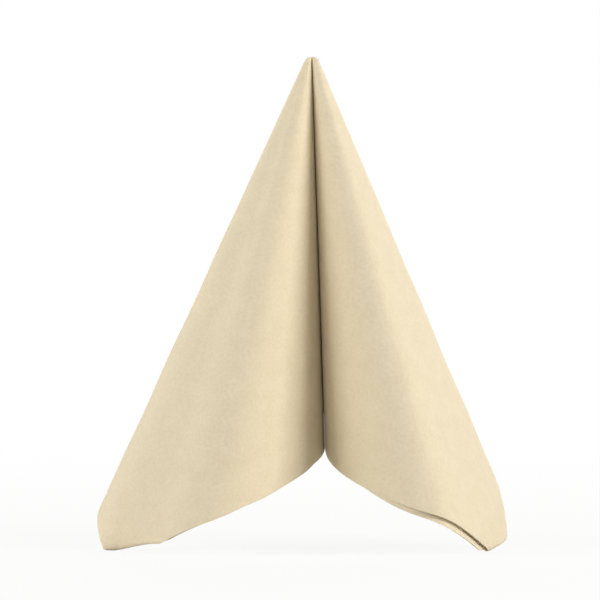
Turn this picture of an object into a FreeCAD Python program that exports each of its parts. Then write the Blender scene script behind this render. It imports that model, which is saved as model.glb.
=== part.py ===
import FreeCAD, Part
import math
import os

# A paper napkin folded once and rolled into a pointed double cone that stands
# on the corners of its two leaves.
# Millimetres. +X is right, +Y is away from the viewer, +Z is up.
# The origin is at the middle of the space that the napkin takes up, on the table.

# The sheet
napkin_side = 400.0        # the open napkin is square
paper = 0.45               # thickness of one leaf of soft airlaid paper
leaf_gap = 0.5             # air between the two leaves
crease_gap = 0.6           # air inside the pressed centre crease

# The tip, where the paper is gathered into a solid point
tip_width = 6.0            # width of the blunt end
tip_above = 0.8            # height of the blunt end above the point where the inner skins meet
tip_rounding = 1.5         # length of the blunt end
gather = 20.0              # length of the gathered point
leaves_start = 16.0        # the walls start this far below the top
slit_start = 30.0          # the leaves part this far below the top
gather_proud = 0.3         # how far the gathered point stands out from the walls
gather_flats = 22          # flats round the gathered point of one roll

# The plan of the two rolls, cut flat at this depth below the point.
# Each path starts at the centre crease, comes forward to where the rolls touch,
# goes round the outside and ends inside the roll, where the free edge is tucked.
# It is the inner skin: the leaves lie outside it, so the rolls are a little apart.
plan_depth = 200.0
centre_x = 7.0             # the centre crease lies this far right of the point
right_plan = [(0, 77), (1.2, 62), (1.2, 44), (1.2, 25), (13, -2), (31, -16), (44, -19), (61, 2), (76, 37), (75, 74),
              (56, 91), (38, 74), (33, 46), (33, 18), (33, -4)]
left_plan = [(0, 77), (1.2, 62), (1.2, 44), (1.4, 28), (17, 3), (36, -14), (53, -21), (73, -8), (97, 12), (91, 50),
             (63, 75), (42, 64), (38, 40), (38, 15), (38, -5)]

# The gathered point of each roll is an oval cone: middle and half widths at the plan's depth.
right_oval = (38.0, 34.0, 38.0, 55.0)
left_oval = (49.0, 28.0, 49.0, 50.0)

# The feet: the corners of the leaves, turned up along a crease that lies on the table.
# The crease starts this far from the corner along the lower edge and the side edge.
left_foot_lower = 29.0
left_foot_side = 15.0
left_foot_turn = -95.0     # degrees, inwards
right_foot_lower = 25.0
right_foot_side = 17.0
right_foot_turn = -95.0    # degrees, inwards
foot_press = 1.0           # height of paper pressed flat where the napkin stands
lean = 3.0                 # degrees that the napkin leans towards the viewer

half_side = napkin_side / 2
pack = 2 * paper + leaf_gap
outer_skin, outer_back, inner_back, inner_skin = 0.0, paper, paper + leaf_gap, pack
line_step = 1.5            # degrees of sheet angle between neighbouring straight lines of a wall
line_count = 61
stations = [line_step * i for i in range(line_count)]
corner_station = stations.index(45.0)
last_station = line_count - 1
round_steps = 6            # flats in each half-round of a fold
sew_gap = 0.001
walk_steps = 3000          # points that a plan's curve is walked by
curl_share = 0.2           # radius of a curled end, as a share of its roll's half depth
curl_drop = 80.0           # a curled end starts this much lower, where the roll has room for it
curl_turns = 2
curl_closing = 0.33        # how much a curled end closes in with each turn
curl_steps = 72            # points in each turn of a curled end


def curled_end(path, side, radius):
    """A spiral inside the roll that its plan goes on along, for paper that is longer than the plan."""
    along = (path[-1] - path[-2]).normalize()
    centre = path[-1] + FreeCAD.Vector(-along.y, along.x, 0) * side * radius
    arm = path[-1] - centre
    spiral = []
    for step in range(1, curl_steps * curl_turns + 1):
        turn = FreeCAD.Rotation(FreeCAD.Vector(0, 0, side), 360 * step / curl_steps)
        spiral.append(centre + turn.multVec(arm) * (1 - curl_closing * step / curl_steps))
    return spiral


def directions(plan, oval, side):
    """Directions of the paper's straight lines, for each step of sheet angle.

    Each has its outer normal, and how much lower the wall starts there.
    """
    points = [FreeCAD.Vector(side * x + centre_x, y, -plan_depth) for x, y in plan]
    curve = Part.BSplineCurve()
    curve.interpolate(points)
    path = curve.discretize(walk_steps)
    path += curled_end(path, side, oval[3] * curl_share)
    fine = [p.normalize() for p in path]
    result = []
    walked = 0.0
    index = 0
    for station in stations:
        target = math.radians(station)
        while walked + fine[index].distanceToPoint(fine[index + 1]) < target:
            walked += fine[index].distanceToPoint(fine[index + 1])
            index += 1
        along = (fine[index + 1] - fine[index]).normalize()
        direction = (fine[index] + along * (target - walked)).normalize()
        lowered = curl_drop if index >= walk_steps - 1 else 0.0
        result.append((direction, direction.cross(along).normalize() * side, lowered))
    return result


def edge_radius(angle):
    """Distance from the point to the napkin's edge at a sheet angle in degrees."""
    return half_side / max(math.cos(math.radians(angle)), math.sin(math.radians(angle)))


class Roll:
    """One of the two cones: side is 1 for the right one and -1 for the left one."""

    def __init__(self, plan, oval, side):
        self.side = side
        self.lines = directions(plan, oval, side)
        self.shift = FreeCAD.Vector(side * (crease_gap / 2 + pack), 0, 0)

    def point(self, station, radius, depth=0.0):
        direction, normal, lowered = self.lines[station]
        return direction * radius + normal * (pack - depth) + self.shift

    def line(self, station, drop, depth):
        """One straight line of a skin, from its upper end to the leaf's edge."""
        return self.level(station, drop, depth), self.point(station, edge_radius(stations[station]), depth)

    def level(self, station, drop, depth):
        """The point of a wall that lies at a given drop below the sharp point."""
        direction, normal, lowered = self.lines[station]
        start = self.shift + normal * (pack - depth)
        return start + direction * ((-drop - lowered - start.z) / direction.z)

    def tangent(self, station):
        direction, normal, lowered = self.lines[station]
        return normal.cross(direction).normalize() * self.side

    def sheet_point(self, across, down):
        """A point of the outer skin from its place on the flat sheet, from the top fold's middle."""
        angle = math.degrees(math.atan2(across, down))
        low = min(int(angle / line_step), last_station - 1)
        share = angle / line_step - low
        direction = self.lines[low][0] * (1 - share) + self.lines[low + 1][0] * share
        normal = self.lines[low][1]
        return direction.normalize() * math.hypot(across, down) + normal * pack + self.shift


def half_round(start, end, onward):
    """The lines between two lines of a fold, round a half circle that bulges onward."""
    lines = []
    for step in range(1, round_steps):
        turn = math.pi * step / round_steps
        ends = []
        for a, b in zip(start, end):
            radius = a.distanceToPoint(b) / 2
            ends.append((a + b) * 0.5 + (a - b) * (math.cos(turn) / 2) + onward * (math.sin(turn) * radius))
        lines.append(tuple(ends))
    return lines


def skin_loop(right, left, near, far, drop):
    """Lines all round a pair of skins: out along one, round the free edge, and back along the other."""
    back = right.tangent(0) * -1
    walls = {}
    for roll in (right, left):
        for depth in (near, far):
            walls[(roll.side, depth)] = [roll.line(i, drop, depth) for i in range(line_count)]
    right_near, right_far = walls[(1, near)], walls[(1, far)]
    left_near, left_far = walls[(-1, near)], walls[(-1, far)]
    loop = list(right_near)
    loop += half_round(right_near[-1], right_far[-1], right.tangent(last_station))
    loop += right_far[::-1]
    loop += half_round(right_far[0], left_far[0], back)
    loop += left_far
    loop += half_round(left_far[-1], left_near[-1], left.tangent(last_station))
    loop += left_near[::-1]
    loop += half_round(left_near[0], right_near[0], back)
    return loop


def quad(a, b, c, d):
    return [(a, b, c), (a, c, d)]


def roof(start, count):
    """Triangles that close the upper end of a loop, between the skins that face each other."""
    wall = line_count + round_steps - 1
    index = [start + i % count for i in range(count + 1)]
    triangles = []
    for first in (0, 2 * wall):
        hem = first + line_count - 1
        for i in range(line_count - 1):
            triangles += quad(index[first + i], index[first + i + 1],
                              index[hem + hem + round_steps - first - i - 1], index[hem + hem + round_steps - first - i])
        triangles += [(index[hem], index[hem + i], index[hem + i + 1]) for i in range(1, round_steps)]
    for i in range(round_steps):
        triangles += quad(index[2 * wall - round_steps + i], index[2 * wall - round_steps + i + 1],
                          index[count - i - 1], index[count - i])
    return triangles


def folded_sheet(right, left):
    """The whole folded sheet as one solid. Between two neighbouring lines a rolled leaf is flat."""
    outside = skin_loop(right, left, outer_skin, inner_skin, leaves_start)
    slit = skin_loop(right, left, outer_back, inner_back, slit_start)
    count = len(outside)
    points = [top for top, low in outside] + [low for top, low in outside]
    points += [top for top, low in slit] + [low for top, low in slit]
    triangles = roof(0, count) + roof(2 * count, count)
    for i in range(count):
        after = (i + 1) % count
        triangles += quad(i, after, count + after, count + i)
        triangles += quad(2 * count + i, 2 * count + after, 3 * count + after, 3 * count + i)
        triangles += quad(count + i, count + after, 3 * count + after, 3 * count + i)
    return triangle_solid(points, triangles).removeSplitter()


def triangle_solid(points, triangles):
    """A solid of flat triangles, sewn along their shared edges."""
    faces = [Part.Face(Part.makePolygon([points[a], points[b], points[c], points[a]])) for a, b, c in triangles]
    shell = Part.makeCompound(faces)
    shell.sewShape(sew_gap)
    solid = Part.Solid(shell.Shells[0])
    if solid.Volume < 0:
        solid.reverse()
    return solid


def gathered_point(plan_oval, side):
    """A blunt oval cone that fills one roll near the top, where the paper has no room to stay apart."""
    x, y, half_x, half_y = plan_oval
    points = []
    triangles = []
    for drop in (tip_rounding, gather):
        share = drop / plan_depth
        middle = FreeCAD.Vector(side * (x * share + pack) + centre_x * share, y * share, -drop)
        major = half_y * share + pack + gather_proud
        minor = half_x * share + pack + gather_proud
        for i in range(gather_flats):
            turn = 2 * math.pi * (i + 0.5) / gather_flats
            points.append(middle + FreeCAD.Vector(minor * math.cos(turn), major * math.sin(turn), 0))
        points.append(middle)
    for i in range(gather_flats):
        after = (i + 1) % gather_flats
        lower, lower_after = gather_flats + 1 + i, gather_flats + 1 + after
        triangles += quad(i, after, lower_after, lower)
        triangles += [(i, after, gather_flats), (lower, lower_after, 2 * gather_flats + 1)]
    return triangle_solid(points, triangles)


def turn_corner(solid, roll, lower, along_side, turn):
    """Turns the leaves' corner about the crease between two points of the leaf's edges."""
    on_lower = roll.sheet_point(half_side - lower, half_side)
    on_side = roll.sheet_point(half_side, half_side - along_side)
    corner = roll.sheet_point(half_side, half_side)
    axis = (on_side - on_lower).normalize()
    down = corner - on_lower
    down = (down - axis * down.dot(axis)).normalize()
    outward = roll.lines[corner_station][1]
    outward = (outward - axis * outward.dot(axis) - down * outward.dot(down)).normalize()
    angle = math.radians(turn)
    turned = down * math.cos(angle) + outward * math.sin(angle)
    mirror_normal = (down - turned).normalize()
    reach = 2 * half_side / 5
    cutter = Part.makeBox(reach, reach, reach / 2, FreeCAD.Vector(-reach / 2, -reach / 2, 0))
    middle = (on_side + on_lower) * 0.5
    across = mirror_normal.cross(axis)
    cutter.Placement = FreeCAD.Placement(middle, FreeCAD.Rotation(axis, across, mirror_normal, "ZXY"))
    upper = solid.cut(cutter)
    flap = solid.common(cutter).mirror(middle, mirror_normal)
    return upper.fuse(flap)


right_roll = Roll(right_plan, right_oval, 1)
left_roll = Roll(left_plan, left_oval, -1)
sheet = folded_sheet(right_roll, left_roll)
print("sheet", sheet.isValid(), sheet.isClosed(), len(sheet.Faces))
print("volume", round(sheet.Volume), "of", round(napkin_side ** 2 * paper))

tip = Part.makeSphere(tip_width / 2, FreeCAD.Vector(0, 0, tip_above - tip_width / 2))
napkin = sheet.fuse([gathered_point(right_oval, 1), gathered_point(left_oval, -1), tip])
print("with point", napkin.isValid(), len(napkin.Solids), len(napkin.Faces))
napkin = turn_corner(napkin, left_roll, left_foot_lower, left_foot_side, left_foot_turn)
print("left foot", napkin.isValid(), len(napkin.Solids), len(napkin.Faces))
napkin = turn_corner(napkin, right_roll, right_foot_lower, right_foot_side, right_foot_turn)
print("right foot", napkin.isValid(), len(napkin.Solids), len(napkin.Faces))

napkin.rotate(FreeCAD.Vector(0, 0, 0), FreeCAD.Vector(1, 0, 0), lean)
box = napkin.optimalBoundingBox()
floor = box.ZMin + foot_press
reach = napkin_side
table = Part.makeBox(reach, reach, reach, FreeCAD.Vector(-reach / 2, -reach / 2, floor - reach))
napkin = napkin.cut(table)
print("stood", napkin.isValid(), len(napkin.Solids), len(napkin.Faces))
box = napkin.optimalBoundingBox()
napkin.translate(FreeCAD.Vector(-box.Center.x, -box.Center.y, -box.ZMin))
print("size", box.XLength, box.YLength, box.ZLength, "moved", -box.Center.x, -box.Center.y, -box.ZMin)
print("centre of mass", napkin.Solids[0].CenterOfMass)
for face in napkin.Faces:
    if abs(face.CenterOfMass.z) < 0.01:
        print("contact", face.BoundBox)

os.makedirs("parts", exist_ok=True)
napkin.exportStep("parts/napkin.step")
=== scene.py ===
# %% [markdown]
# # A paper napkin folded into a pointed double cone
# The real thing is one square of soft airlaid paper, folded once so that it has two leaves, and
# rolled by hand into two cones that share a point. It stands on its two lower corners.
# This lesson builds that one sheet from its own geometry, gives it a paper material, and lights it
# softly on a pale table.

# %% The frame
import math
import random

import bmesh
import bpy
import numpy as np
from mathutils import Matrix, Vector


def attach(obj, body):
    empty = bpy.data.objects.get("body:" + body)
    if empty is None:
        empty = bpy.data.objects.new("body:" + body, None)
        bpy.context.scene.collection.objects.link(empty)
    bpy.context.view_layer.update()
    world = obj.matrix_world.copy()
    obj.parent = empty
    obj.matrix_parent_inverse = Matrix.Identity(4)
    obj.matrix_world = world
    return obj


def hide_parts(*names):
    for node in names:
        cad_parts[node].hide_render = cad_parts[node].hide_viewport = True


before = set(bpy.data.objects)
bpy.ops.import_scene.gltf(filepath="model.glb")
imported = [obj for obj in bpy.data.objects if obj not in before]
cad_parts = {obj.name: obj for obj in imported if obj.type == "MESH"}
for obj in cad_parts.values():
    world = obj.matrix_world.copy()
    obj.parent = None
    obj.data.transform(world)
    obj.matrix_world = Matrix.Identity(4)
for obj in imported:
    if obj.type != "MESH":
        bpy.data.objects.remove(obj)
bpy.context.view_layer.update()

# %% [markdown]
# ## The sheet and how it is rolled
# A rolled sheet of paper is made of straight lines that all start at the point of the cone, so the
# whole shape follows from one curve: the plan of the rolls, cut flat some way below the point. It
# could be modelled by hand with subdivision, but then the paper would stretch. Walking along the
# plan by the angle that the flat sheet really has keeps every edge of the napkin at its true length.

# %% Sizes in millimetres
to_metres = 0.001
napkin_side = 400.0
half_side = napkin_side / 2
paper = 0.45
leaf_gap = 0.5
crease_gap = 0.3
pack = 2 * paper + leaf_gap

plan_depth = 200.0
centre_x = 7.0
# Each plan starts at the crease behind, comes forward to where the rolls touch, goes round the
# outside of its roll and ends inside it.
right_plan = [
    (0, 77), (0.6, 62), (0.4, 44), (0.3, 25), (13, -2), (31, -16), (44, -19), (61, 2),
    (76, 37), (75, 74), (56, 91), (38, 74), (33, 46), (33, 18), (33, -4),
]
left_plan = [
    (0, 77), (0.6, 62), (0.4, 44), (0.4, 28), (17, 3), (36, -14), (53, -21), (73, -8),
    (97, 12), (91, 50), (63, 75), (42, 64), (38, 40), (38, 15), (38, -5),
]
apex = np.array([4.86, -42.44, 251.31])
lean = math.radians(3.0)


# %% [markdown]
# ## A smooth curve through the plan's points
# Blender's own curves could carry the plan, but the walk along it needs exact directions, so a
# natural cubic spline is solved here. It bends as a thin strip of paper held at those points would.

# %% The plan's curve and the paper's lines
plan_steps = 6000
line_nudge = 0.004  # radians to each side of a line, for the paper's slope there


def spline_through(points, count):
    """Points spaced along a natural cubic spline through the given points."""
    p = np.array(points, float)
    knots = np.concatenate([[0.0], np.cumsum(np.linalg.norm(np.diff(p, axis=0), axis=1))])
    span = np.diff(knots)
    last = len(p) - 1
    system = np.eye(len(p))
    slope_change = np.zeros_like(p)
    for i in range(1, last):
        system[i, i - 1:i + 2] = span[i - 1], 2 * (span[i - 1] + span[i]), span[i]
        slope_change[i] = 6 * ((p[i + 1] - p[i]) / span[i] - (p[i] - p[i - 1]) / span[i - 1])
    bend = np.linalg.solve(system, slope_change)
    walk = np.linspace(0, knots[-1], count)
    i = np.clip(np.searchsorted(knots, walk) - 1, 0, last - 1)
    to_go, gone, width = (knots[i + 1] - walk)[:, None], (walk - knots[i])[:, None], span[i][:, None]
    curved = (bend[i] * to_go ** 3 + bend[i + 1] * gone ** 3) / (6 * width)
    from_last = (p[i] / width - bend[i] * width / 6) * to_go
    to_next = (p[i + 1] / width - bend[i + 1] * width / 6) * gone
    return curved + from_last + to_next


def paper_lines(plan, side, angles):
    """Direction and outward normal of the paper's straight line at each sheet angle, in radians."""
    xy = spline_through(plan, plan_steps)
    ray = np.column_stack([side * xy[:, 0] + centre_x, xy[:, 1], np.full(len(xy), -plan_depth)])
    ray /= np.linalg.norm(ray, axis=1)[:, None]
    walked = np.concatenate([[0.0], np.cumsum(np.linalg.norm(np.diff(ray, axis=0), axis=1))])
    direction = np.column_stack([np.interp(angles, walked, ray[:, k]) for k in range(3)])
    ahead = np.column_stack([np.interp(angles + line_nudge, walked, ray[:, k]) for k in range(3)])
    behind = np.column_stack([np.interp(angles - line_nudge, walked, ray[:, k]) for k in range(3)])
    direction /= np.linalg.norm(direction, axis=1)[:, None]
    normal = np.cross(direction, ahead - behind) * side
    return direction, normal / np.linalg.norm(normal, axis=1)[:, None]


# Straight lines every three quarters of a degree, and closer where a corner is turned under.
wide, close = 0.75, 0.33
degrees = np.concatenate([np.arange(0, 34, wide), np.arange(34, 54, close), np.arange(54, 90.01, wide)])
degrees[-1] = 90.0
angles = np.radians(degrees)
line_count = len(angles)
edge_radius = half_side / np.maximum(np.cos(angles), np.sin(angles))
print("straight lines in each wall:", line_count)

# %% [markdown]
# ## The walls of one roll
# Each roll has two leaves with a little air between them. The leaves were folded by hand, so the
# inner one shows a few millimetres below the outer one in places, and the paper is never perfectly
# even: it waves by a fraction of a millimetre.

# %% Leaf edges and soft waves
rng = random.Random(7)
wave_height = 0.16
# Each wave has its count in a full turn of the sheet's angle, its count in a millimetre along the
# paper's straight line, a phase and a size.
waves = [
    (rng.uniform(2, 9), rng.uniform(0.004, 0.018), rng.uniform(0, 6.28), rng.uniform(0.4, 1.0))
    for _ in range(7)
]


def smooth(x, start, end):
    """Rises gently from 0 at the start to 1 at the end."""
    t = np.clip((x - start) / (end - start), 0, 1)
    return t * t * (3 - 2 * t)


def rise_and_fall(x, rise_start, rise_end, fall_start, fall_end):
    """Rises gently from 0 to 1 and falls gently back to 0."""
    return smooth(x, rise_start, rise_end) * (1 - smooth(x, fall_start, fall_end))


def waviness(angle, radius, side):
    """How far the paper stands off its ideal cone, in millimetres."""
    total = 0
    for round_count, along_count, phase, size in waves:
        swing = round_count * angle + along_count * radius * 2 * math.pi + phase + side
        total = total + size * np.sin(swing)
    away_from_point = smooth(radius, 30, 160)
    away_from_crease = smooth(np.degrees(angle), 16, 34)
    return wave_height * total * away_from_point * away_from_crease


def inner_leaf_shows(side):
    """How far the inner leaf reaches past the outer one at each sheet angle, in millimetres."""
    if side > 0:
        return 3.8 * rise_and_fall(degrees, 22, 30, 39, 45)
    return 1.7 * rise_and_fall(degrees, 14, 19, 25, 31) + 0.9 * rise_and_fall(degrees, 38, 42, 46, 52)


print("inner leaf shows, millimetres:", inner_leaf_shows(1).max().round(1), "right,",
      inner_leaf_shows(-1).max().round(1), "left")

# %% [markdown]
# At the very top the paper is squeezed to a blunt point, so the skins run together there in a small
# round cap. At the lower edge of the right roll the inner leaf also hangs a little away from the outer.

# %% The points of a wall
tip_round = 2.2
tip_rise = 0.8
inner_leaf_apart = 1.1
walls = {}
for side, plan in ((1, right_plan), (-1, left_plan)):
    walls[side] = paper_lines(plan, side, angles)


def wall_points(side, depth, shares, beyond=0.0):
    """Points of one skin: one row per straight line, from the tip to the leaf's edge."""
    direction, normal = walls[side]
    radius = (edge_radius + beyond)[:, None] * shares[None, :]
    cap = np.sqrt(1 - (1 - np.clip(radius / tip_round, 0, 1)) ** 2)
    # The inner leaf hangs away over the middle of the right roll, from 0.4 to 1 radian, near its edge.
    apart = 0.0
    if side > 0 and depth > pack / 2:
        apart = inner_leaf_apart * rise_and_fall(angles[:, None], 0.4, 0.55, 0.8, 1.0)
        apart = apart * smooth(shares[None, :], 0.8, 1.0)
    stand_off = (pack - depth) * cap - apart + waviness(angles[:, None], radius, side)
    points = direction[:, None, :] * radius[..., None] + normal[:, None, :] * stand_off[..., None]
    points[..., 0] += side * (crease_gap / 2 + pack) * cap
    points[..., 2] += tip_rise * (1 - np.clip(radius / tip_round, 0, 1)) ** 2
    return points


def flat_place(side, depth, shares, beyond=0.0):
    """Where each of those points lies on the open napkin: across and down from its middle."""
    radius = (edge_radius + beyond)[:, None] * shares[None, :]
    across = side * np.sin(angles)[:, None] * radius
    down = np.cos(angles)[:, None] * radius * (-1 if depth < pack / 2 else 1)
    return np.stack([across, down], axis=-1)


# %% [markdown]
# ## Closing the sheet
# A real sheet has no open rim, and a mesh with one looks thin as a film and can't be measured. So the
# skins are joined in one loop: round the folded free edge, back along the inner leaf, through the
# centre crease and over to the other roll. A second loop inside it is the air between the leaves.

# %% Loops of paper
round_steps = 8


def half_round(start, end, onward):
    """Rows on a half circle from one row of points to another, bulging onward."""
    middle, arm = (start + end) / 2, (start - end) / 2
    radius = np.linalg.norm(arm, axis=-1, keepdims=True)
    rows = []
    for step in range(1, round_steps):
        turn = math.pi * step / round_steps
        rows.append(middle + arm * math.cos(turn) + onward * math.sin(turn) * radius)
    return rows


def blend_rows(start, end):
    """As many rows again, evenly between two, for the places on the open napkin."""
    return [start + (end - start) * step / round_steps for step in range(1, round_steps)]


def onward_at(side, line):
    """The way that the paper runs on past one of its lines, round the roll."""
    direction, normal = walls[side]
    return np.cross(normal[line], direction[line]) * side


def paper_loop(near, far, shares):
    """All the rows of a pair of skins in order, with their places on the open napkin."""
    rows, places = [], []
    skin, flat = {}, {}
    for side in (1, -1):
        for depth in (near, far):
            beyond = inner_leaf_shows(side) if depth > pack / 2 else 0.0
            skin[side, depth] = list(wall_points(side, depth, shares, beyond))
            flat[side, depth] = list(flat_place(side, depth, shares, beyond))
    back = -onward_at(1, 0)
    hem = line_count - 1
    walks = [
        ((1, near), (1, far), hem, onward_at(1, hem)),
        ((1, far), (-1, far), 0, back),
        ((-1, far), (-1, near), hem, onward_at(-1, hem)),
        ((-1, near), (1, near), 0, back),
    ]
    for here, after, line, onward in walks:
        order = 1 if line == hem else -1
        rows += skin[here][::order]
        places += flat[here][::order]
        rows += half_round(skin[here][line], skin[after][line], onward)
        places += blend_rows(flat[here][line], flat[after][line])
    return np.array(rows), np.array(places)


# Places along each line, as shares of its length: close at the blunt point, long steps in the plain
# wall, and short ones near the edge, where the corners bend.
tip_shares = [0.0, 0.002, 0.004, 0.0065, 0.01, 0.016, 0.024]
skin_shares = np.concatenate([tip_shares, np.linspace(0.035, 0.86, 62), np.linspace(0.868, 1.0, 30)])
slit_shares = np.concatenate([np.linspace(0.13, 0.84, 9), np.linspace(0.87, 1.0, 12)])
outside, outside_flat = paper_loop(0.0, pack, skin_shares)
slit, slit_flat = paper_loop(paper, paper + leaf_gap, slit_shares)
count = len(outside)
print("lines round the sheet:", count)

# %% [markdown]
# ## Turned corners
# The napkin's weight rests on its two lower corners, and both have curled under it, the left one
# further along its lower edge. Each is a bend about a line across the corner, and above the left one
# the paper gives way once more, in a wide soft bend that takes the curled corner with it.
# A Simple Deform modifier could bend it, but it can't tell the corner from the wall behind it, so the
# bend is worked out here for the corner's own points alone.

# %% Bending a corner
def corner_point(side, lower, along_side):
    """A point of the outer skin, from its distances to the corner along the two edges."""
    across, down = half_side - lower, half_side - along_side
    angle = math.atan2(across, down)
    direction = np.array([np.interp(angle, angles, walls[side][0][:, k]) for k in range(3)])
    normal = np.array([np.interp(angle, angles, walls[side][1][:, k]) for k in range(3)])
    direction /= np.linalg.norm(direction)
    point = direction * math.hypot(across, down) + normal * pack
    point[0] += side * (crease_gap / 2 + pack)
    return point, normal


def bend_corner(points, places, side, lower, along_side, turn, radius, reach=14.0):
    """Bends the corner beyond a line. A positive turn goes outwards, in degrees.

    The line meets the lower edge and the side edge at the given distances from the corner. Paper that
    lies more than the reach before the line, on the open napkin, isn't touched.
    """
    on_lower, _ = corner_point(side, lower, 0.0)
    on_side, _ = corner_point(side, 0.0, along_side)
    corner, outward = corner_point(side, 0.0, 0.0)
    axis = on_side - on_lower
    axis /= np.linalg.norm(axis)
    down = corner - on_lower
    down -= axis * down.dot(axis)
    down /= np.linalg.norm(down)
    outward = outward - axis * outward.dot(axis) - down * outward.dot(down)
    outward /= np.linalg.norm(outward)
    sense = 1 if turn > 0 else -1
    turn = math.radians(abs(turn))
    # On the open napkin the line runs across the corner: this is how far a point lies past it.
    u = half_side - places[..., 0] * side
    v = half_side - np.abs(places[..., 1])
    past = (1 - u / lower - v / along_side) * lower * along_side / math.hypot(lower, along_side)
    mine = past > -reach
    middle = (on_lower + on_side) / 2
    local = points[mine] - middle
    along, fall, out = local @ axis, local @ down, local @ outward * sense
    start = -radius * turn / 2
    run = np.clip(fall - start, 0, None)
    angle = np.clip(run / radius, 0, turn)
    extra = np.clip(run - radius * turn, 0, None)
    bent = fall > start
    new_fall = np.where(bent, start + (radius - out) * np.sin(angle) + extra * np.cos(angle), fall)
    new_out = np.where(bent, radius - (radius - out) * np.cos(angle) + extra * np.sin(angle), out)
    outwards = (new_out * sense)[:, None] * outward
    points[mine] = middle + along[:, None] * axis + new_fall[:, None] * down + outwards


for points, places in ((outside, outside_flat), (slit, slit_flat)):
    bend_corner(points, places, side=-1, lower=35.0, along_side=12.5, turn=-160.0, radius=2.2)
    bend_corner(points, places, side=-1, lower=40.0, along_side=34.0, turn=-20.0, radius=16.0, reach=22.0)
    bend_corner(points, places, side=1, lower=20.0, along_side=15.0, turn=-165.0, radius=2.6)

# %% [markdown]
# ## Standing it up
# The finished roll leans a little towards the viewer. It is then levelled so that both feet touch the
# table, and the paper under them is pressed flat.

# %% Lean, level and press
foot_press = 0.5
press_softness = 0.35


def stand(points):
    """Leans the napkin towards the viewer and puts its point in place."""
    y, z = points[..., 1].copy(), points[..., 2].copy()
    points[..., 1] = y * math.cos(lean) - z * math.sin(lean)
    points[..., 2] = y * math.sin(lean) + z * math.cos(lean)
    points += apex


def lowest(points, side):
    """The lowest point of the foot on one side."""
    foot = points[points[:, 0] * side > 0]
    return foot[foot[:, 2].argmin()]


for points in (outside, slit):
    stand(points)
left_low = lowest(outside.reshape(-1, 3), -1)
right_low = lowest(outside.reshape(-1, 3), 1)
print("lowest left", left_low.round(2), "lowest right", right_low.round(2))
roll = (right_low[2] - left_low[2]) / (right_low[0] - left_low[0])
for points in (outside, slit):
    x, z = points[..., 0] - apex[0], points[..., 2] - apex[2]
    points[..., 0] = apex[0] + x * math.cos(roll) + z * math.sin(roll)
    points[..., 2] = apex[2] - x * math.sin(roll) + z * math.cos(roll)
floor = min(outside[..., 2].min(), slit[..., 2].min()) + foot_press
print("rolled by", round(math.degrees(roll), 3), "degrees, floor at", round(floor, 2))
point_place = np.array([apex[0], apex[1], apex[2] - floor])
for points in (outside, slit):
    z = points[..., 2] - floor
    pressed = press_softness * np.exp(np.minimum(z - press_softness, 0) / press_softness)
    points[..., 2] = np.where(z < press_softness, pressed, z)

# %% [markdown]
# ## The mesh
# The loops become one closed mesh. The open napkin's own measure is kept as its UV map, so that the
# paper's fibres run over both leaves without a seam and at their real size.

# %% Faces
def sheet_mesh():
    """Corners, their places on the open napkin, and faces of the closed sheet."""
    rows, slit_rows = outside.shape[1], slit.shape[1]
    verts = [outside[:, 1:].reshape(-1, 3), slit.reshape(-1, 3), outside[:1, 0]]
    flats = [outside_flat[:, 1:].reshape(-1, 2), slit_flat.reshape(-1, 2), np.zeros((1, 2))]
    verts, flats = np.concatenate(verts), np.concatenate(flats)
    top = len(verts) - 1
    grid = np.arange(count * (rows - 1)).reshape(count, rows - 1)
    hole = np.arange(count * slit_rows).reshape(count, slit_rows) + count * (rows - 1)
    faces = []
    for i in range(count):
        j = (i + 1) % count
        faces.append((grid[i, 0], grid[j, 0], top))
        faces += [(grid[i, k], grid[i, k + 1], grid[j, k + 1], grid[j, k]) for k in range(rows - 2)]
        faces += [(hole[j, k], hole[j, k + 1], hole[i, k + 1], hole[i, k]) for k in range(slit_rows - 1)]
        faces.append((grid[i, -1], hole[i, -1], hole[j, -1], grid[j, -1]))
    # The air between the leaves ends short of the point. There a strip joins its two sides.
    wall = line_count + round_steps - 1
    ring = [hole[i % count, 0] for i in range(count + 1)]
    for first in (0, 2 * wall):
        hem = first + line_count - 1
        for i in range(line_count - 1):
            a, b = first + i, hem + hem + round_steps - first - i
            faces.append((ring[a], ring[a + 1], ring[b - 1], ring[b]))
        faces += [(ring[hem], ring[hem + i], ring[hem + i + 1]) for i in range(1, round_steps)]
    for i in range(round_steps):
        a, b = 2 * wall - round_steps + i, count - i
        faces.append((ring[a], ring[a + 1], ring[b - 1], ring[b]))
    return verts, flats, [[int(v) for v in face] for face in faces]


verts, flats, faces = sheet_mesh()
mesh = bpy.data.meshes.new("napkin_sheet")
mesh.from_pydata((verts * to_metres).tolist(), [], faces)
print("mesh needed repair:", mesh.validate())
uv = mesh.uv_layers.new(name="open_napkin")
place = (flats / napkin_side + 0.5)[np.array([loop.vertex_index for loop in mesh.loops])]
uv.data.foreach_set("uv", place.astype(np.float32).ravel())
mesh.polygons.foreach_set("use_smooth", [True] * len(mesh.polygons))
mesh.set_sharp_from_angle(angle=math.radians(40))
mesh.update()
napkin = bpy.data.objects.new("napkin_sheet", mesh)
bpy.context.scene.collection.objects.link(napkin)

# %% Is it closed?
work = bmesh.new()
work.from_mesh(mesh)
open_edges = sum(1 for edge in work.edges if len(edge.link_faces) != 2)
volume = work.calc_volume(signed=True)
if volume < 0:
    bmesh.ops.reverse_faces(work, faces=work.faces)
    work.to_mesh(mesh)
print("faces", len(work.faces), "open edges", open_edges, "paper volume, cubic mm:", round(volume * 1e9))
work.free()


# %% [markdown]
# ## Airlaid paper
# A dinner napkin that holds such a fold is airlaid paper: wood fibres blown into a soft mat, bonded,
# and lightly pressed. The eye sees a matt, slightly fluffy cream surface with a faint cloudiness of a
# few millimetres and a fine grain, and a warm tone where light bounces between the leaves. A plain
# cream colour would look like card, so noise of three sizes drives its colour and bump.

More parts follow.
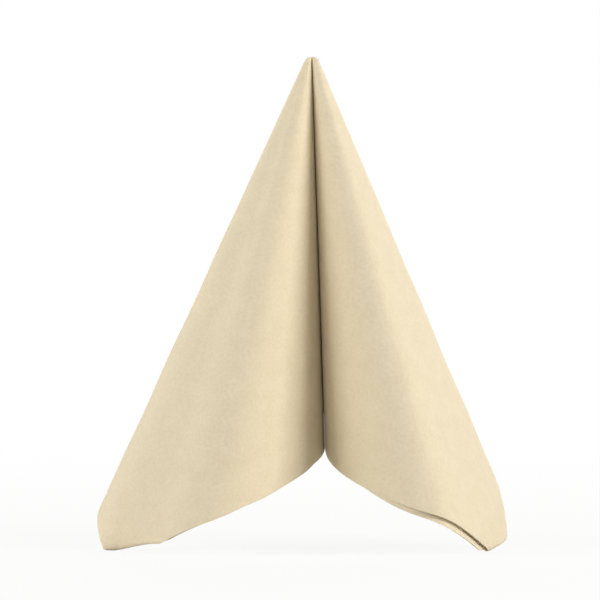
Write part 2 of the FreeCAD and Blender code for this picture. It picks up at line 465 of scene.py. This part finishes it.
# %% Colours and nodes
def colour(code):
    """An sRGB hex colour as Blender's linear RGBA."""
    value = [int(code[i:i + 2], 16) / 255 for i in (1, 3, 5)]
    return [v / 12.92 if v <= 0.04045 else ((v + 0.055) / 1.055) ** 2.4 for v in value] + [1.0]


def add_node(tree, kind, settings=None, links=None):
    """Adds one node with its settings, and links sockets of other nodes to its inputs."""
    node = tree.nodes.new(kind)
    for name, value in (settings or {}).items():
        if isinstance(name, int) or name in node.inputs:
            node.inputs[name].default_value = value
        else:
            setattr(node, name, value)
    for name, output in (links or {}).items():
        tree.links.new(output, node.inputs[name])
    return node


def new_material(name):
    """A material with an empty node tree, that tree and its output node."""
    material = bpy.data.materials.new(name)
    material.use_nodes = True
    tree = material.node_tree
    tree.nodes.clear()
    return material, tree, add_node(tree, "ShaderNodeOutputMaterial")


def seen_directly(tree):
    """A socket that is 1 where the camera, a mirror or clear glass sees a surface, and 0 for its light."""
    path = add_node(tree, "ShaderNodeLightPath")
    total = path.outputs["Is Camera Ray"]
    for name in ("Is Glossy Ray", "Is Transmission Ray"):
        pair = {0: total, 1: path.outputs[name]}
        total = add_node(tree, "ShaderNodeMath", {"operation": "MAXIMUM"}, pair).outputs[0]
    return total


# %% The paper
airlaid, tree, output = new_material("airlaid paper, cream")
where = add_node(tree, "ShaderNodeTexCoord")
# The UV map spans the open napkin, so this scale turns it into millimetres.
scale = {"Scale": (napkin_side, napkin_side, napkin_side)}
millimetres = add_node(tree, "ShaderNodeMapping", scale, {"Vector": where.outputs["UV"]})
on_paper = {"Vector": millimetres.outputs["Vector"]}
# Clouds where the fibres lie thicker, and tufts of fibre, by their size in millimetres.
cloud_size, tuft_size = 9.0, 1.6
cloudy = {"Scale": 1 / cloud_size, "Detail": 3.0, "Roughness": 0.6}
clouds = add_node(tree, "ShaderNodeTexNoise", cloudy, on_paper)
tufted = {"Scale": 1 / tuft_size, "Detail": 4.0, "Roughness": 0.65}
tufts = add_node(tree, "ShaderNodeTexNoise", tufted, on_paper)
# Single fibres are 0.03 mm thick, too fine to show: they are drawn as streaks 0.7 mm wide and about
# 3 mm long, lying two ways.
streak_width, streak_slimness = 0.7, 0.22
streaky = {"Scale": 1 / streak_width, "Detail": 2.0, "Roughness": 0.5}
streaks = []
for turn in (0.5, -0.9):
    lie = {"Rotation": (0, 0, turn), "Scale": (1.0, streak_slimness, 1.0)}
    turned = {"Vector": add_node(tree, "ShaderNodeMapping", lie, on_paper).outputs["Vector"]}
    streaks.append(add_node(tree, "ShaderNodeTexNoise", streaky, turned).outputs["Fac"])
fibres = add_node(tree, "ShaderNodeMath", {"operation": "ADD"}, {0: streaks[0], 1: streaks[1]})
felt_parts = {0: fibres.outputs[0], 1: tufts.outputs["Fac"]}
felt = add_node(tree, "ShaderNodeMath", {"operation": "ADD"}, felt_parts)
mottle = add_node(tree, "ShaderNodeMix", {"data_type": "RGBA"}, {"Factor": clouds.outputs["Fac"]})
speckle = add_node(tree, "ShaderNodeValToRGB", {}, {"Fac": tufts.outputs["Fac"]})
speckle.color_ramp.elements[0].position = 0.3
speckle.color_ramp.elements[0].color = (0.93, 0.925, 0.91, 1)
speckle.color_ramp.elements[1].position = 0.6
speckle.color_ramp.elements[1].color = (1, 1, 1, 1)
paper_colour = add_node(tree, "ShaderNodeMix", {"data_type": "RGBA", "blend_type": "MULTIPLY"})
paper_colour.inputs["Factor"].default_value = 1.0
height = {"Height": felt.outputs[0]}
bump = add_node(tree, "ShaderNodeBump", {"Strength": 0.35, "Distance": 0.00012}, height)
paper_shader = add_node(
    tree,
    "ShaderNodeBsdfPrincipled",
    {"Roughness": 0.92, "IOR": 1.45, "Sheen Weight": 0.12, "Sheen Roughness": 0.6},
    {"Normal": bump.outputs["Normal"]},
)


# %% [markdown]
# The mix node has sockets of the same name for each data type, so its colour sockets are found by type.

# %% Joining the colours
def colour_socket(node, name, side):
    """The mix node's colour socket of this name, among its inputs or its outputs."""
    sockets = node.inputs if side == "in" else node.outputs
    return [s for s in sockets if s.name == name and s.type == "RGBA"][0]


colour_socket(mottle, "A", "in").default_value = colour("#e0d1b1")
colour_socket(mottle, "B", "in").default_value = colour("#eaddc0")
tree.links.new(colour_socket(mottle, "Result", "out"), colour_socket(paper_colour, "A", "in"))
tree.links.new(speckle.outputs["Color"], colour_socket(paper_colour, "B", "in"))
tree.links.new(colour_socket(paper_colour, "Result", "out"), paper_shader.inputs["Base Color"])
tree.links.new(paper_shader.outputs["BSDF"], output.inputs["Surface"])
napkin.data.materials.append(airlaid)
print("paper material nodes:", len(tree.nodes))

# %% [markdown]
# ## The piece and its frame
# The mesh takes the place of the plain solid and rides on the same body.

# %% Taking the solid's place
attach(napkin, "root")
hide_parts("napkin")

# %% [markdown]
# ## Table, light and camera
# The photograph is a cut-out on white. A pale table that the camera sees as almost white, and a white
# world behind it, give that without flooding the paper with light. Two broad lamps stand far out to
# the right and left, so the fold between the rolls stays dark, and a third lights the back.

# %% The table
floor_mesh = bpy.data.meshes.new("table")
half = 30.0  # metres
table_corners = [(-half, -half, 0), (half, -half, 0), (half, half, 0), (-half, half, 0)]
floor_mesh.from_pydata(table_corners, [], [(0, 1, 2, 3)])
table = bpy.data.objects.new("table", floor_mesh)
bpy.context.scene.collection.objects.link(table)
table_top, tree, output = new_material("matt white table")
matt = add_node(tree, "ShaderNodeBsdfDiffuse", {"Color": colour("#e4e2de")})
glow = add_node(tree, "ShaderNodeEmission", {"Color": colour("#ffffff"), "Strength": 1.0})
# Within a metre of the napkin the table keeps up to a tenth of its real shading, and so the napkin's
# shadow. Further off it is white.
where = add_node(tree, "ShaderNodeTexCoord")
from_middle = {"Vector": where.outputs["Object"]}
near = add_node(tree, "ShaderNodeTexGradient", {"gradient_type": "SPHERICAL"}, from_middle)
kept_shading = 0.1
fade = {"operation": "MULTIPLY_ADD", 1: -kept_shading, 2: 1.0}
share = add_node(tree, "ShaderNodeMath", fade, {0: near.outputs["Fac"]})
white_share = {0: seen_directly(tree), 1: share.outputs[0]}
seen = add_node(tree, "ShaderNodeMath", {"operation": "MULTIPLY"}, white_share)
shading = {"Fac": seen.outputs[0], 1: matt.outputs["BSDF"], 2: glow.outputs["Emission"]}
both = add_node(tree, "ShaderNodeMixShader", {}, shading)
tree.links.new(both.outputs["Shader"], output.inputs["Surface"])
table.data.materials.append(table_top)

# %% The world
world = bpy.data.worlds.new("studio")
world.use_nodes = True
tree = world.node_tree
tree.nodes.clear()
output = add_node(tree, "ShaderNodeOutputWorld")
soft_light = add_node(tree, "ShaderNodeBackground", {"Color": colour("#fbfaf7"), "Strength": 0.12})
white = add_node(tree, "ShaderNodeBackground", {"Color": colour("#ffffff"), "Strength": 1.0})
light = {"Fac": seen_directly(tree), 1: soft_light.outputs[0], 2: white.outputs[0]}
behind = add_node(tree, "ShaderNodeMixShader", {}, light)
tree.links.new(behind.outputs["Shader"], output.inputs["Surface"])
bpy.context.scene.world = world


# %% Lamps and camera
napkin_middle = Vector((0.0, 0.0, 0.12))


def soft_lamp(name, place, size, power):
    """A square area lamp that faces the middle of the napkin."""
    lamp = bpy.data.lights.new(name, "AREA")
    lamp.size = size
    lamp.energy = power
    body = bpy.data.objects.new(name, lamp)
    body.location = place
    body.rotation_euler = (napkin_middle - Vector(place)).to_track_quat("-Z", "Y").to_euler()
    bpy.context.scene.collection.objects.link(body)
    return body


soft_lamp("right lamp", (2.05, -1.0, 1.1), 1.1, 52.0)
soft_lamp("left lamp", (-2.2, -0.75, 1.0), 1.3, 47.0)
soft_lamp("back lamp", (0.3, 2.4, 1.3), 1.2, 34.0)

camera_data = bpy.data.cameras.new("camera")
camera_data.lens = 177.7
camera_data.sensor_width = 36.0
camera_data.clip_end = 100.0
camera = bpy.data.objects.new("camera", camera_data)
# The camera's place is in millimetres from the napkin's point. It looks level from 1.5 m away, at the
# height of the napkin's middle, and is rolled by as much as the napkin was rolled to stand level.
from_point = Vector((-5.98, -1500.0, -122.4))
rolled = Matrix.Rotation(roll, 3, "Y")
from_point.rotate(rolled)
camera.location = (Vector(point_place) + from_point) * to_metres
camera.rotation_euler = (rolled @ Matrix.Rotation(math.radians(90.0), 3, "X")).to_euler()
bpy.context.scene.collection.objects.link(camera)
bpy.context.scene.camera = camera
bpy.context.scene.view_settings.view_transform = "Standard"
